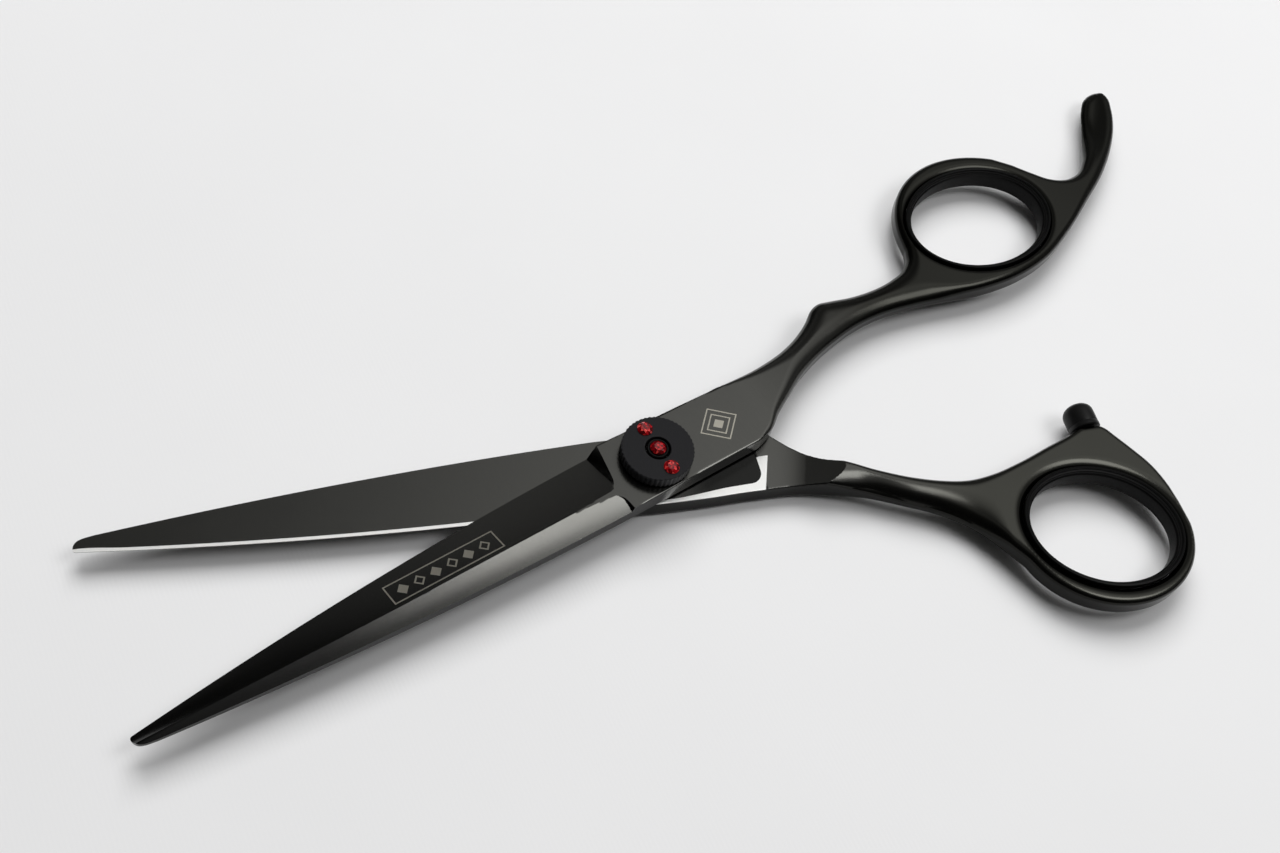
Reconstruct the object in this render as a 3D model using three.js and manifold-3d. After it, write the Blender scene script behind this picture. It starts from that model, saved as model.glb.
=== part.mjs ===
// Hair cutting shears with a one-piece finger rest, a serrated tension dial,
// rubber ring inserts and a rubber closing stop. Millimetres, +Z up.
//
// The origin lies on the pivot axis at the underside of the pivot bolt's head.
// The blades point along -X, the rings along +X, the finger ring on the +Y side.
//
// Both halves are drawn in a "half frame": X runs from the tip (-X) to the ring
// (+X), the cutting edge is on +Y, and W is the distance outward from the ride
// plane where the two halves meet. The finger half is laid over the ride plane
// and the thumb half is the same way up after half a turn about X. Each is then
// swung about the pivot by half of the opening angle.
import * as THREE from 'three';
import { mergeVertices } from 'three/addons/utils/BufferGeometryUtils.js';
import Module from 'manifold-3d';

const wasm = await Module();
wasm.setup();

// ---------------------------------------------------------------- overall sizes
const OPEN_ANGLE = THREE.MathUtils.degToRad(19.9); // between the blades at rest
const FIT = 0.3; // clearance between neighbouring pieces
const BOLT_HEAD_PROUD = 0.5; // how far the bolt head stands below the thumb half
const BLADE_REACH = 76.2; // pivot to tip
const PLATE = 3.0; // thickness of each half at the pivot
const RIDE = BOLT_HEAD_PROUD + PLATE; // height of the ride plane
const FACE = FIT / 2; // each inner face stands back from the ride plane

// ---------------------------------------------------------------- blades
const BLADE_HEEL = -7.0; // where the ground faces of the blade end
const EDGE_HEEL_Y = 5.35; // cutting edge at the heel
const SPINE_HEEL_Y = -5.35; // spine at the heel
const EDGE_BOW = 1.15; // bow of the cutting edge over its chord
const SPINE_BOW = 0.85; // bow of the spine over its chord
const TIP_WIDTH = 1.6; // blade width just behind the rounded tip
const EDGE_THICKNESS = 0.3; // outer facet's height at the cutting edge
const RIDGE_Y = -2.0; // the ridge between the two ground facets
const RIDGE_HEEL_W = 2.85;
const RIDGE_TIP_W = 1.0;
const SPINE_HEEL_W = 2.2;
const SPINE_TIP_W = 0.75;

// ---------------------------------------------------------------- ricasso and shanks
const RICASSO_TOP_Y = 5.1;
const RICASSO_LOW_Y = -5.2;
const RICASSO_END = 14.0; // where the shank leaves the ricasso
const INNER_FLAT_END = 19.5; // the inner face is flat up to here
const INNER_RAMP_END = 25.5; // and reaches the shank's inner side here
const RICASSO_CORNER = 0.35;
const SHANK_CORNER = 1.5;

// ---------------------------------------------------------------- rings
const RING_HALF_HEIGHT = 2.0;
const RING_ROUNDING = 1.3;
const INSERT_PROUD = 0.2; // how far the rubber stands out of the ring on each side
const INSERT_HALF_HEIGHT = RING_HALF_HEIGHT + INSERT_PROUD;
const INSERT_WALL = 0.75;
const SHOULDER_ROUNDING = 0.6;
const RING_SIDES = 56;

// finger ring, half frame
const FINGER_RING = { x: 71.3, y: 11.2, tilt: -6, holeA: 13.0, holeB: 9.8 };
FINGER_RING.outerX = FINGER_RING.x + 0.5;
FINGER_RING.outerY = FINGER_RING.y + 0.6;
FINGER_RING.outerA = FINGER_RING.holeA + 1.3;
FINGER_RING.outerB = FINGER_RING.holeB + 2.2;

// thumb ring, half frame
const THUMB_RING = { x: 60.7, y: 21.2, tilt: 16, holeA: 12.0, holeB: 9.9 };
THUMB_RING.outerX = THUMB_RING.x - 0.4;
THUMB_RING.outerY = THUMB_RING.y;
THUMB_RING.outerA = THUMB_RING.holeA + 2.2;
THUMB_RING.outerB = THUMB_RING.holeB + 1.9;

// ---------------------------------------------------------------- pivot stack
const BOLT_HEAD_R = 4.2;
const BOLT_HEAD_T = 1.1;
const NECK = 4.2; // across the flats of the square neck
const STEM_R = 1.5;
const WASHER_R = 3.8;
const WASHER_T = 0.6;
const DIAL_R = 5.0;
const DIAL_WALL = 1.0;
const BUSH_WALL = 0.9;
const BUSH_FLANGE_R = DIAL_R - DIAL_WALL - FIT; // the stack sits inside the dial's skirt
const BUSH_SEAT_W = PLATE - 1.8; // floor of the flange's recess, above the ride plane
const THIN = 0.35; // thickness of the bushing's flange and of the click plate
const SPRING_T = 0.25;
const SPRING_DISH = 0.15;
const DIAL_TOP = RIDE + PLATE + 2.0; // dial's top face
const DIAL_TEETH = 40;
const DIAL_TOOTH = 0.12;
const DIAL_ROOF = 1.4;
const SCREW_HEAD_R = STEM_R; // the lock screw's head covers the end of the stem
const SCREW_HEAD_T = 0.9;
const SCREW_STEM_R = 0.6;
const CRYSTAL_LAND = 0.2; // metal left on each side of a stone's seat
const DIAL_BORE_R = SCREW_HEAD_R + FIT;
const CRYSTAL_R = (DIAL_R - DIAL_BORE_R) / 2 - FIT - CRYSTAL_LAND;
const CENTRE_CRYSTAL_R = 0.8;
const CRYSTAL_H = 0.8;
const CRYSTAL_PROUD = 0.5;
const CRYSTAL_SPACING = (DIAL_R + DIAL_BORE_R) / 2;
const CRYSTAL_LINE = THREE.MathUtils.degToRad(97.7); // direction of the row at rest
const CLICK_NOTCHES = 10;
const CLICK_NOTCH_R = 0.35;

// ---------------------------------------------------------------- closing stop
const BUMPER_X = THUMB_RING.x + 5.4;
const BUMPER_SEAT_Y = THUMB_RING.y - 16.4; // where the rubber meets the shoulder
const BUMPER_R = 2.35;
const BUMPER_L = 4.3;
const SEAT_HALF = BUMPER_R + 0.2; // half width of the seat under the rubber
const STUD_R = 0.7;
const STUD_L = 5.4;

// ================================================================ helpers
const lerp = THREE.MathUtils.lerp;

function toSolid(geometry) {
  const bare = new THREE.BufferGeometry();
  bare.setAttribute('position', geometry.getAttribute('position').clone());
  if (geometry.index) bare.setIndex(geometry.index.clone());
  const merged = mergeVertices(bare, 1e-5);
  const vertProperties = new Float32Array(merged.getAttribute('position').array);
  const triVerts = new Uint32Array(merged.index.array);
  return new wasm.Manifold(new wasm.Mesh({ numProp: 3, vertProperties, triVerts }));
}

function toGeometry(solid) {
  const mesh = solid.getMesh();
  const geometry = new THREE.BufferGeometry();
  geometry.setAttribute('position', new THREE.BufferAttribute(mesh.vertProperties, 3));
  geometry.setIndex(new THREE.BufferAttribute(mesh.triVerts, 1));
  geometry.computeVertexNormals();
  return geometry;
}

// A closed skin over a row of loops with the same number of points.
// Each loop runs anticlockwise when seen from ahead of the row.
function loft(loops) {
  const count = loops[0].length;
  const points = loops.flat();
  const faces = [];
  for (let i = 0; i + 1 < loops.length; i++) {
    for (let j = 0; j < count; j++) {
      const a = i * count + j;
      const b = i * count + ((j + 1) % count);
      faces.push(a, b, b + count, a, b + count, a + count);
    }
  }
  const addCap = (first, loop, flip) => {
    const centre = points.length;
    const middle = new THREE.Vector3();
    loop.forEach((p) => middle.add(p));
    points.push(middle.divideScalar(count));
    for (let j = 0; j < count; j++) {
      const a = first + j;
      const b = first + ((j + 1) % count);
      if (flip) faces.push(centre, b, a);
      else faces.push(centre, a, b);
    }
  };
  addCap(0, loops[0], true);
  addCap((loops.length - 1) * count, loops.at(-1), false);
  const geometry = new THREE.BufferGeometry().setFromPoints(points);
  geometry.setIndex(faces);
  return geometry;
}

// A rounded rectangle as a loop across X: y from low to high, w from bottom to top.
function roundedLoop(x, low, high, bottom, top, corner) {
  const r = Math.min(corner, (high - low) / 2.05, (top - bottom) / 2.05);
  const perCorner = 4;
  const corners = [
    [high - r, top - r, 0],
    [low + r, top - r, 90],
    [low + r, bottom + r, 180],
    [high - r, bottom + r, 270],
  ];
  return corners.flatMap(([y, w, start]) => {
    const row = [];
    for (let k = 0; k < perCorner; k++) {
      const angle = THREE.MathUtils.degToRad(start + (90 * k) / (perCorner - 1));
      row.push(new THREE.Vector3(x, y + r * Math.cos(angle), w + r * Math.sin(angle)));
    }
    return row;
  });
}

// A smooth curve through [x, y] pairs, read by x.
function curveThrough(pairs) {
  const n = pairs.length;
  const slope = pairs.map((p, i) => {
    const a = pairs[Math.max(i - 1, 0)];
    const b = pairs[Math.min(i + 1, n - 1)];
    return (b[1] - a[1]) / (b[0] - a[0]);
  });
  return (x) => {
    let i = 0;
    while (i < n - 2 && x > pairs[i + 1][0]) i++;
    const [x0, y0] = pairs[i];
    const [x1, y1] = pairs[i + 1];
    const h = x1 - x0;
    const t = THREE.MathUtils.clamp((x - x0) / h, 0, 1);
    const t2 = t * t;
    const t3 = t2 * t;
    return (2 * t3 - 3 * t2 + 1) * y0 + (t3 - 2 * t2 + t) * h * slope[i]
      + (3 * t2 - 2 * t3) * y1 + (t3 - t2) * h * slope[i + 1];
  };
}

function ovalShape(x, y, a, b, tiltDegrees) {
  const shape = new THREE.Shape();
  shape.absellipse(x, y, a, b, 0, 2 * Math.PI, false, THREE.MathUtils.degToRad(tiltDegrees));
  return shape;
}

// A shape extruded from low to high with its edges rounded inward.
function slab(shape, low, high, rounding = 0, curveSegments = RING_SIDES) {
  const geometry = new THREE.ExtrudeGeometry(shape, {
    depth: high - low - 2 * rounding,
    bevelEnabled: rounding > 0,
    bevelThickness: rounding,
    bevelSize: rounding,
    bevelOffset: -rounding,
    bevelSegments: 3,
    curveSegments,
  });
  geometry.translate(0, 0, low + rounding);
  return toSolid(geometry);
}

// A turned piece about the pivot axis from [radius, height] pairs.
function turned(profile, sides = 32) {
  const points = profile.map(([r, z]) => new THREE.Vector2(r, z));
  const geometry = new THREE.LatheGeometry(points, sides);
  geometry.rotateX(Math.PI / 2);
  return toSolid(geometry);
}

const disc = (r, low, high, sides = 32) => turned([[0, low], [r, low], [r, high], [0, high]], sides);

const washer = (inner, outer, low, high, sides = 32) => turned(
  [[inner, low], [outer, low], [outer, high], [inner, high], [inner, low]],
  sides,
);

// ================================================================ the two halves
const HALF_TURN_X = new THREE.Matrix4().makeRotationX(Math.PI);
const swing = (angle) => new THREE.Matrix4().makeRotationZ(angle);
const lift = new THREE.Matrix4().makeTranslation(0, 0, RIDE);
const FINGER_PLACE = swing(OPEN_ANGLE / 2).multiply(lift);
const THUMB_PLACE = swing(-OPEN_ANGLE / 2).multiply(lift).multiply(HALF_TURN_X);

// How far along the blade a place is: 0 at the tip, 1 at the heel.
const along = (x) => THREE.MathUtils.clamp((x + BLADE_REACH) / (BLADE_HEEL + BLADE_REACH), 0, 1);
const bow = (t) => 4 * t * (1 - t);
const edgeY = (x) => lerp(0, EDGE_HEEL_Y, along(x)) + EDGE_BOW * bow(along(x));
const spineY = (x) => lerp(-TIP_WIDTH, SPINE_HEEL_Y, along(x)) - SPINE_BOW * bow(along(x));

function bladeLoop(x, tipShare) {
  const t = along(x);
  const edge = edgeY(x);
  const spine = lerp(edge - 0.35, spineY(x), tipShare);
  const ridge = Math.max(lerp(edge - 0.2, RIDGE_Y, tipShare), lerp(spine, edge, 0.3));
  const ridgeW = lerp(RIDGE_TIP_W, RIDGE_HEEL_W, Math.sqrt(t));
  const spineW = lerp(SPINE_TIP_W, SPINE_HEEL_W, Math.sqrt(t));
  return [
    [edge, FACE],
    [edge, EDGE_THICKNESS],
    [ridge, ridgeW],
    [spine, spineW],
    [spine, FACE],
  ].map(([y, w]) => new THREE.Vector3(x, y, w));
}

function makeBlade() {
  const tipLength = 2.4;
  const loops = [[0, 0], [0.25, 0.5], [0.8, 0.8], [tipLength, 1]]
    .map(([back, share]) => bladeLoop(-BLADE_REACH + back, share));
  const stations = 16;
  const start = -BLADE_REACH + tipLength;
  for (let i = 1; i <= stations; i++) loops.push(bladeLoop(lerp(start, BLADE_HEEL + 1, i / stations), 1));
  return toSolid(loft(loops));
}

// Ricasso and shank in one skin. The shank's stations are [share, centre, half
// width]: the share of the way from the ricasso to the ring, and the centre as a
// height above the pivot.
function makeShank(shank) {
  const { end, stations, outer, innerDepth } = shank;
  const at = (share) => lerp(RICASSO_END, end, share);
  const top = curveThrough([
    [BLADE_HEEL, shank.ricassoTop],
    [RICASSO_END - 3, shank.ricassoTop],
    ...stations.map(([s, c, h]) => [at(s), c + h]),
  ]);
  const low = curveThrough([
    [BLADE_HEEL, RICASSO_LOW_Y],
    [RICASSO_END - 3, RICASSO_LOW_Y],
    ...stations.map(([s, c, h]) => [at(s), c - h]),
  ]);
  const outerW = curveThrough(outer.map(([s, w]) => [at(s), w]));
  const steps = 56;
  const loops = [];
  for (let i = 0; i <= steps; i++) {
    const x = lerp(BLADE_HEEL, at(1), i / steps);
    const ramp = THREE.MathUtils.smoothstep(x, INNER_FLAT_END, INNER_RAMP_END);
    const bottom = lerp(FACE, -innerDepth, ramp);
    const upper = x < RICASSO_END ? PLATE : outerW(x);
    const corner = lerp(RICASSO_CORNER, SHANK_CORNER, THREE.MathUtils.smoothstep(x, RICASSO_END, INNER_RAMP_END));
    loops.push(roundedLoop(x, low(x), top(x), bottom, upper, corner));
  }
  return toSolid(loft(loops));
}

function makeRing(ring) {
  const shape = ovalShape(ring.outerX, ring.outerY, ring.outerA, ring.outerB, ring.tilt);
  return slab(shape, -RING_HALF_HEIGHT, RING_HALF_HEIGHT, RING_ROUNDING);
}

function ringHole(ring) {
  const shape = ovalShape(ring.x, ring.y, ring.holeA, ring.holeB, ring.tilt);
  return slab(shape, -RING_HALF_HEIGHT - 3, RING_HALF_HEIGHT + 3);
}

// The finger rest: a tapering bar that leaves the ring and curls up to a paddle.
// Each row is [x, y, half width, half height] from the ring's centre.
function makeFingerRest() {
  const rows = [
    [4.0, -6.0, 4.0, 1.8],
    [11.0, -4.0, 4.6, 1.8],
    [16.0, -2.4, 4.2, 1.8],
    [20.0, -1.7, 2.8, 1.8],
    [25.0, -0.4, 2.3, 1.8],
    [30.0, 2.2, 2.5, 1.8],
    [34.5, 5.6, 2.8, 1.7],
    [38.0, 9.1, 2.5, 1.5],
    [40.3, 12.0, 1.0, 0.9],
  ];
  const path = new THREE.CatmullRomCurve3(rows.map(([x, y]) => new THREE.Vector3(x, y, 0)));
  const steps = 24;
  const sides = 12;
  const rowValue = (share, column) => {
    const place = share * (rows.length - 1);
    const i = Math.min(Math.floor(place), rows.length - 2);
    return lerp(rows[i][column], rows[i + 1][column], place - i);
  };
  const loops = [];
  for (let i = 0; i <= steps; i++) {
    const share = i / steps;
    const centre = path.getPoint(share);
    const forward = path.getTangent(share);
    const side = new THREE.Vector3(-forward.y, forward.x, 0);
    const halfWidth = rowValue(share, 2);
    const halfHeight = rowValue(share, 3);
    const loop = [];
    for (let k = 0; k < sides; k++) {
      const angle = (2 * Math.PI * k) / sides;
      const point = centre.clone().addScaledVector(side, halfWidth * Math.cos(angle));
      point.z += halfHeight * Math.sin(angle);
      point.x += FINGER_RING.x;
      point.y += FINGER_RING.y;
      loop.push(point);
    }
    loops.push(loop);
  }
  return toSolid(loft(loops));
}

const FINGER_SHANK = {
  end: FINGER_RING.x - 2,
  ricassoTop: RICASSO_TOP_Y,
  innerDepth: 2.1,
  stations: [
    [0, -0.1, 5.15],
    [0.028, 0.0, 5.0],
    [0.055, 0.55, 4.4],
    [0.11, 1.35, 3.6],
    [0.18, 2.85, 2.55],
    [0.25, 4.2, 2.15],
    [0.33, 5.65, 2.45],
    [0.41, 7.0, 3.15],
    [0.47, 6.65, 2.8],
    [0.545, 6.15, 2.5],
    [0.62, 5.7, 2.55],
    [0.69, 5.4, 2.9],
    [0.77, 5.3, 3.7],
    [0.85, 4.9, 4.2],
    [0.92, 4.4, 4.2],
    [1, 4.0, 4.0],
  ],
  outer: [[0, PLATE], [0.2, 2.8], [0.4, 2.5], [0.65, 2.2], [0.85, 1.9], [1, 1.8]],
};

const THUMB_SHANK = {
  end: THUMB_RING.outerX - THUMB_RING.outerA + 3.5,
  ricassoTop: 5.9,
  innerDepth: 1.9,
  stations: [
    [0, 0.9, 5.2],
    [0.08, 2.05, 4.25],
    [0.17, 3.8, 2.85],
    [0.28, 5.5, 2.15],
    [0.39, 6.9, 2.1],
    [0.5, 8.7, 2.0],
    [0.62, 10.4, 2.1],
    [0.74, 12.0, 2.5],
    [0.86, 14.2, 3.9],
    [1, 15.9, 5.4],
  ],
  outer: [[0, PLATE], [0.25, 2.5], [0.45, 2.1], [0.75, 1.9], [1, 1.9]],
};

// The shoulder that fills the corner between the thumb ring and the closing stop.
function makeShoulder() {
  const seat = BUMPER_SEAT_Y;
  const shape = new THREE.Shape();
  shape.moveTo(THUMB_RING.x - 15, THUMB_RING.y - 9);
  shape.quadraticCurveTo(THUMB_RING.x - 13, seat + 5.6, THUMB_RING.x - 10, seat + 4.8);
  shape.quadraticCurveTo(BUMPER_X - 6.5, seat + 2.9, BUMPER_X - SEAT_HALF, seat);
  shape.lineTo(BUMPER_X + SEAT_HALF, seat);
  shape.quadraticCurveTo(BUMPER_X + 3.6, seat + 3.6, THUMB_RING.x + 13, seat + 10);
  shape.lineTo(THUMB_RING.x + 8, THUMB_RING.y - 4);
  shape.lineTo(THUMB_RING.x - 8, THUMB_RING.y - 4);
  return slab(shape, -RING_HALF_HEIGHT, RING_HALF_HEIGHT, SHOULDER_ROUNDING, 5);
}

function makeFingerHalf() {
  const bore = disc(STEM_R + FIT + BUSH_WALL + FIT, -1, PLATE + 1);
  const recess = disc(BUSH_FLANGE_R + FIT, BUSH_SEAT_W, PLATE + 1);
  return makeBlade()
    .add(makeShank(FINGER_SHANK))
    .add(makeRing(FINGER_RING))
    .add(makeFingerRest())
    .subtract(ringHole(FINGER_RING))
    .subtract(bore)
    .subtract(recess);
}

function makeThumbHalf() {
  const hole = new THREE.Shape();
  const reach = NECK / 2 + FIT;
  hole.moveTo(-reach, -reach).lineTo(reach, -reach).lineTo(reach, reach).lineTo(-reach, reach);
  const neckHole = slab(hole, -1, PLATE + 1);
  const headSeat = disc(BOLT_HEAD_R + FIT, PLATE + BOLT_HEAD_PROUD - BOLT_HEAD_T - FIT, PLATE + 2);
  const washerSeat = disc(WASHER_R + FIT, -1, FACE + FIT + WASHER_T);
  const studHole = slab(ovalShape(0, 0, STUD_R + FIT, STUD_R + FIT, 0), -1, STUD_L / 2 + FIT, 0, 16)
    .rotate([-90, 0, 0]).translate([BUMPER_X, BUMPER_SEAT_Y, 0]);
  return makeBlade()
    .add(makeShank(THUMB_SHANK))
    .add(makeRing(THUMB_RING))
    .add(makeShoulder())
    .subtract(ringHole(THUMB_RING))
    .subtract(neckHole)
    .subtract(headSeat)
    .subtract(washerSeat)
    .subtract(studHole);
}

function makeInsert(ring) {
  const a = ring.holeA - FIT;
  const b = ring.holeB - FIT;
  const shape = ovalShape(ring.x, ring.y, a, b, ring.tilt);
  shape.holes.push(ovalShape(ring.x, ring.y, a - INSERT_WALL, b - INSERT_WALL, ring.tilt));
  return slab(shape, -INSERT_HALF_HEIGHT, INSERT_HALF_HEIGHT);
}

// ================================================================ closing stop
// Both pieces point along -Y from the shoulder, in the thumb half's frame.
const pointAtStop = (solid) => solid.rotate([90, 0, 0]).translate([BUMPER_X, BUMPER_SEAT_Y, 0]);

function makeBumper() {
  const crown = 1.3;
  const socket = STUD_R + FIT;
  const profile = [[socket, FIT], [BUMPER_R, FIT], [BUMPER_R, BUMPER_L - crown]];
  const steps = 4;
  for (let i = 1; i <= steps; i++) {
    const angle = (Math.PI / 2) * (i / steps);
    const radius = BUMPER_R - crown * (1 - Math.cos(angle));
    profile.push([radius, BUMPER_L - crown + crown * Math.sin(angle)]);
  }
  const depth = STUD_L / 2 + FIT;
  profile.push([0, BUMPER_L], [0, depth], [socket, depth], [socket, FIT]);
  return pointAtStop(turned(profile, 24));
}

const makeStud = () => pointAtStop(disc(STUD_R, -STUD_L / 2, STUD_L / 2, 12));

// ================================================================ pivot stack
// Heights of the stack, from the bolt's head up to the dial.
const PLATEAU = RIDE + PLATE; // outer face of the finger half
const WASHER_TOP = RIDE - FACE;
const WASHER_LOW = WASHER_TOP - WASHER_T;
const FLANGE_LOW = RIDE + BUSH_SEAT_W + FIT;
const SPRING_LOW = FLANGE_LOW + THIN + FIT;
const CLICK_LOW = SPRING_LOW + SPRING_T + SPRING_DISH + FIT;
const DIAL_LOW = PLATEAU + FIT;
const STEM_TOP = DIAL_TOP - SCREW_HEAD_T - FIT;

// The bolt's square neck is keyed to the thumb half.
const swungWithThumb = (solid) => solid.rotate([0, 0, -THREE.MathUtils.radToDeg(OPEN_ANGLE) / 2]);

function makeBolt() {
  const neckShape = new THREE.Shape();
  const reach = NECK / 2;
  neckShape.moveTo(-reach, -reach).lineTo(reach, -reach).lineTo(reach, reach).lineTo(-reach, reach);
  const neck = slab(neckShape, BOLT_HEAD_T - 0.1, WASHER_LOW - FIT);
  const thread = disc(SCREW_STEM_R + FIT, STEM_TOP - 2, STEM_TOP + 1, 16);
  return turned([
    [0, 0],
    [BOLT_HEAD_R - 0.3, 0],
    [BOLT_HEAD_R, 0.3],
    [BOLT_HEAD_R, BOLT_HEAD_T],
    [STEM_R, BOLT_HEAD_T],
    [STEM_R, STEM_TOP],
    [0, STEM_TOP],
  ]).add(swungWithThumb(neck)).subtract(thread);
}

const makeWasher = () => washer(STEM_R + FIT, WASHER_R, WASHER_LOW, WASHER_TOP);

function makeBushing() {
  const inner = STEM_R + FIT;
  const outer = inner + BUSH_WALL;
  const low = RIDE + FACE;
  const top = FLANGE_LOW + THIN;
  return turned([
    [inner, low],
    [outer, low],
    [outer, FLANGE_LOW],
    [BUSH_FLANGE_R, FLANGE_LOW],
    [BUSH_FLANGE_R, top],
    [inner, top],
    [inner, low],
  ]);
}

function makeSpring() {
  const inner = STEM_R + FIT;
  const high = SPRING_LOW + SPRING_DISH;
  return turned([
    [inner, high],
    [BUSH_FLANGE_R, SPRING_LOW],
    [BUSH_FLANGE_R, SPRING_LOW + SPRING_T],
    [inner, high + SPRING_T],
    [inner, high],
  ]);
}

function makeClickPlate() {
  let plate = washer(STEM_R + FIT, BUSH_FLANGE_R, CLICK_LOW, CLICK_LOW + THIN, 40);
  for (let i = 0; i < CLICK_NOTCHES; i++) {
    const angle = (2 * Math.PI * i) / CLICK_NOTCHES;
    const x = BUSH_FLANGE_R * Math.cos(angle);
    const y = BUSH_FLANGE_R * Math.sin(angle);
    plate = plate.subtract(disc(CLICK_NOTCH_R, CLICK_LOW - 1, CLICK_LOW + 1, 8).translate([x, y, 0]));
  }
  return plate;
}

function crystalPlace(side) {
  return [
    side * CRYSTAL_SPACING * Math.cos(CRYSTAL_LINE),
    side * CRYSTAL_SPACING * Math.sin(CRYSTAL_LINE),
    0,
  ];
}

const crystalBase = DIAL_TOP + CRYSTAL_PROUD - CRYSTAL_H;
const crystalSeat = (radius) => disc(radius + FIT, crystalBase - FIT, DIAL_TOP + 1, 16);

function makeDial() {
  const rim = new THREE.Shape();
  for (let i = 0; i < DIAL_TEETH * 2; i++) {
    const angle = (Math.PI * i) / DIAL_TEETH;
    const radius = i % 2 ? DIAL_R - DIAL_TOOTH : DIAL_R;
    const method = i ? 'lineTo' : 'moveTo';
    rim[method](radius * Math.cos(angle), radius * Math.sin(angle));
  }
  const recess = disc(BUSH_FLANGE_R + FIT, DIAL_LOW - 1, DIAL_TOP - DIAL_ROOF);
  const bore = disc(DIAL_BORE_R, DIAL_LOW - 1, DIAL_TOP + 1);
  let dial = slab(rim, DIAL_LOW, DIAL_TOP).subtract(recess).subtract(bore);
  for (const side of [-1, 1]) dial = dial.subtract(crystalSeat(CRYSTAL_R).translate(crystalPlace(side)));
  return dial;
}

function makeLockScrew() {
  const low = DIAL_TOP - SCREW_HEAD_T;
  return turned([
    [0, STEM_TOP - 2 + FIT],
    [SCREW_STEM_R, STEM_TOP - 2 + FIT],
    [SCREW_STEM_R, low],
    [SCREW_HEAD_R, low],
    [SCREW_HEAD_R, DIAL_TOP],
    [0, DIAL_TOP],
  ], 24).subtract(crystalSeat(CENTRE_CRYSTAL_R));
}

// A brilliant-cut stone: eight flat crown facets over a pavilion.
function makeCrystal(radius) {
  const girdle = crystalBase + CRYSTAL_H * 0.45;
  return turned([
    [0, crystalBase],
    [radius * 0.75, crystalBase],
    [radius, girdle],
    [radius * 0.6, crystalBase + CRYSTAL_H],
    [0, crystalBase + CRYSTAL_H],
  ], 8);
}

// ================================================================ assembly
const finish = (color, roughness, metalness) => new THREE.MeshStandardMaterial({ color, roughness, metalness });
const blackSteel = finish(0x2b2b2c, 0.25, 0.9);
const blackDial = finish(0x242426, 0.5, 0.6);
const brightSteel = finish(0xb9bab8, 0.25, 1.0);
const springSteel = finish(0x8c8d90, 0.35, 1.0);
const blackRubber = finish(0x131313, 0.75, 0.0);
const nylon = finish(0xe9e6dc, 0.5, 0.0);
const redCrystal = finish(0xb3142c, 0.05, 0.1);

const group = new THREE.Group();

function addPart(name, solid, material, place) {
  const mesh = new THREE.Mesh(toGeometry(solid), material);
  mesh.name = name;
  if (place) mesh.applyMatrix4(place);
  group.add(mesh);
}

addPart('finger_half', makeFingerHalf(), blackSteel, FINGER_PLACE);
addPart('finger_ring_insert', makeInsert(FINGER_RING), blackRubber, FINGER_PLACE);
addPart('thumb_half', makeThumbHalf(), blackSteel, THUMB_PLACE);
addPart('thumb_ring_insert', makeInsert(THUMB_RING), blackRubber, THUMB_PLACE);
addPart('bumper_stud', makeStud(), springSteel, THUMB_PLACE);
addPart('rubber_bumper', makeBumper(), blackRubber, THUMB_PLACE);
addPart('pivot_bolt', makeBolt(), brightSteel);
addPart('ride_washer', makeWasher(), nylon);
addPart('pivot_bushing', makeBushing(), nylon);
addPart('spring_washer', makeSpring(), springSteel);
addPart('click_plate', makeClickPlate(), springSteel);
addPart('tension_dial', makeDial(), blackDial);
addPart('dial_lock_screw', makeLockScrew(), blackDial);
addPart('centre_crystal', makeCrystal(CENTRE_CRYSTAL_R), redCrystal);
for (const [name, side] of [['far_crystal', 1], ['near_crystal', -1]]) {
  addPart(name, makeCrystal(CRYSTAL_R).translate(crystalPlace(side)), redCrystal);
}

export default group;
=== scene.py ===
"""Looks for the hair cutting shears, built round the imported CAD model.

The two halves are modelled as implicit solids. Each one is a plate with a plan
outline, an outer and an inner height and a rounding that changes along the
half. A dual contouring mesher turns them into meshes with crisp ground edges
and smooth forged shapes. The small pieces are turned, swept or faceted.

Lengths are millimetres until a mesh is made. In the half frame X runs from the
tip (-X) to the ring (+X), the cutting edge is on +Y, and W is the distance
outward from the ride plane where the two halves meet.
"""

import math

import bpy
import numpy as np
from mathutils import Matrix, Vector, kdtree


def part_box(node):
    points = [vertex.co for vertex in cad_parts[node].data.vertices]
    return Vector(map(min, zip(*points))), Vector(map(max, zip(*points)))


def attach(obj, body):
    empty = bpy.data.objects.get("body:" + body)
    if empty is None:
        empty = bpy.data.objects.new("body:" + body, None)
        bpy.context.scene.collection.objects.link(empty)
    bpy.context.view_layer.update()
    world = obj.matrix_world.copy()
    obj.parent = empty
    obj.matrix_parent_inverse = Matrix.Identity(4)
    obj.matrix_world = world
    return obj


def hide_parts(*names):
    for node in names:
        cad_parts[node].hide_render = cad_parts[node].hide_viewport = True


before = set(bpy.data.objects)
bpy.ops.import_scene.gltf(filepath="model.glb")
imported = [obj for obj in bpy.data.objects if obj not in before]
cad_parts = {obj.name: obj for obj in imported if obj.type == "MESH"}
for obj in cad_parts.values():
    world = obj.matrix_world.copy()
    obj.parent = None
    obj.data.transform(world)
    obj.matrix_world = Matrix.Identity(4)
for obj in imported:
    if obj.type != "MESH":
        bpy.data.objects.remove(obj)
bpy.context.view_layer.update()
MM = 0.001

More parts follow.
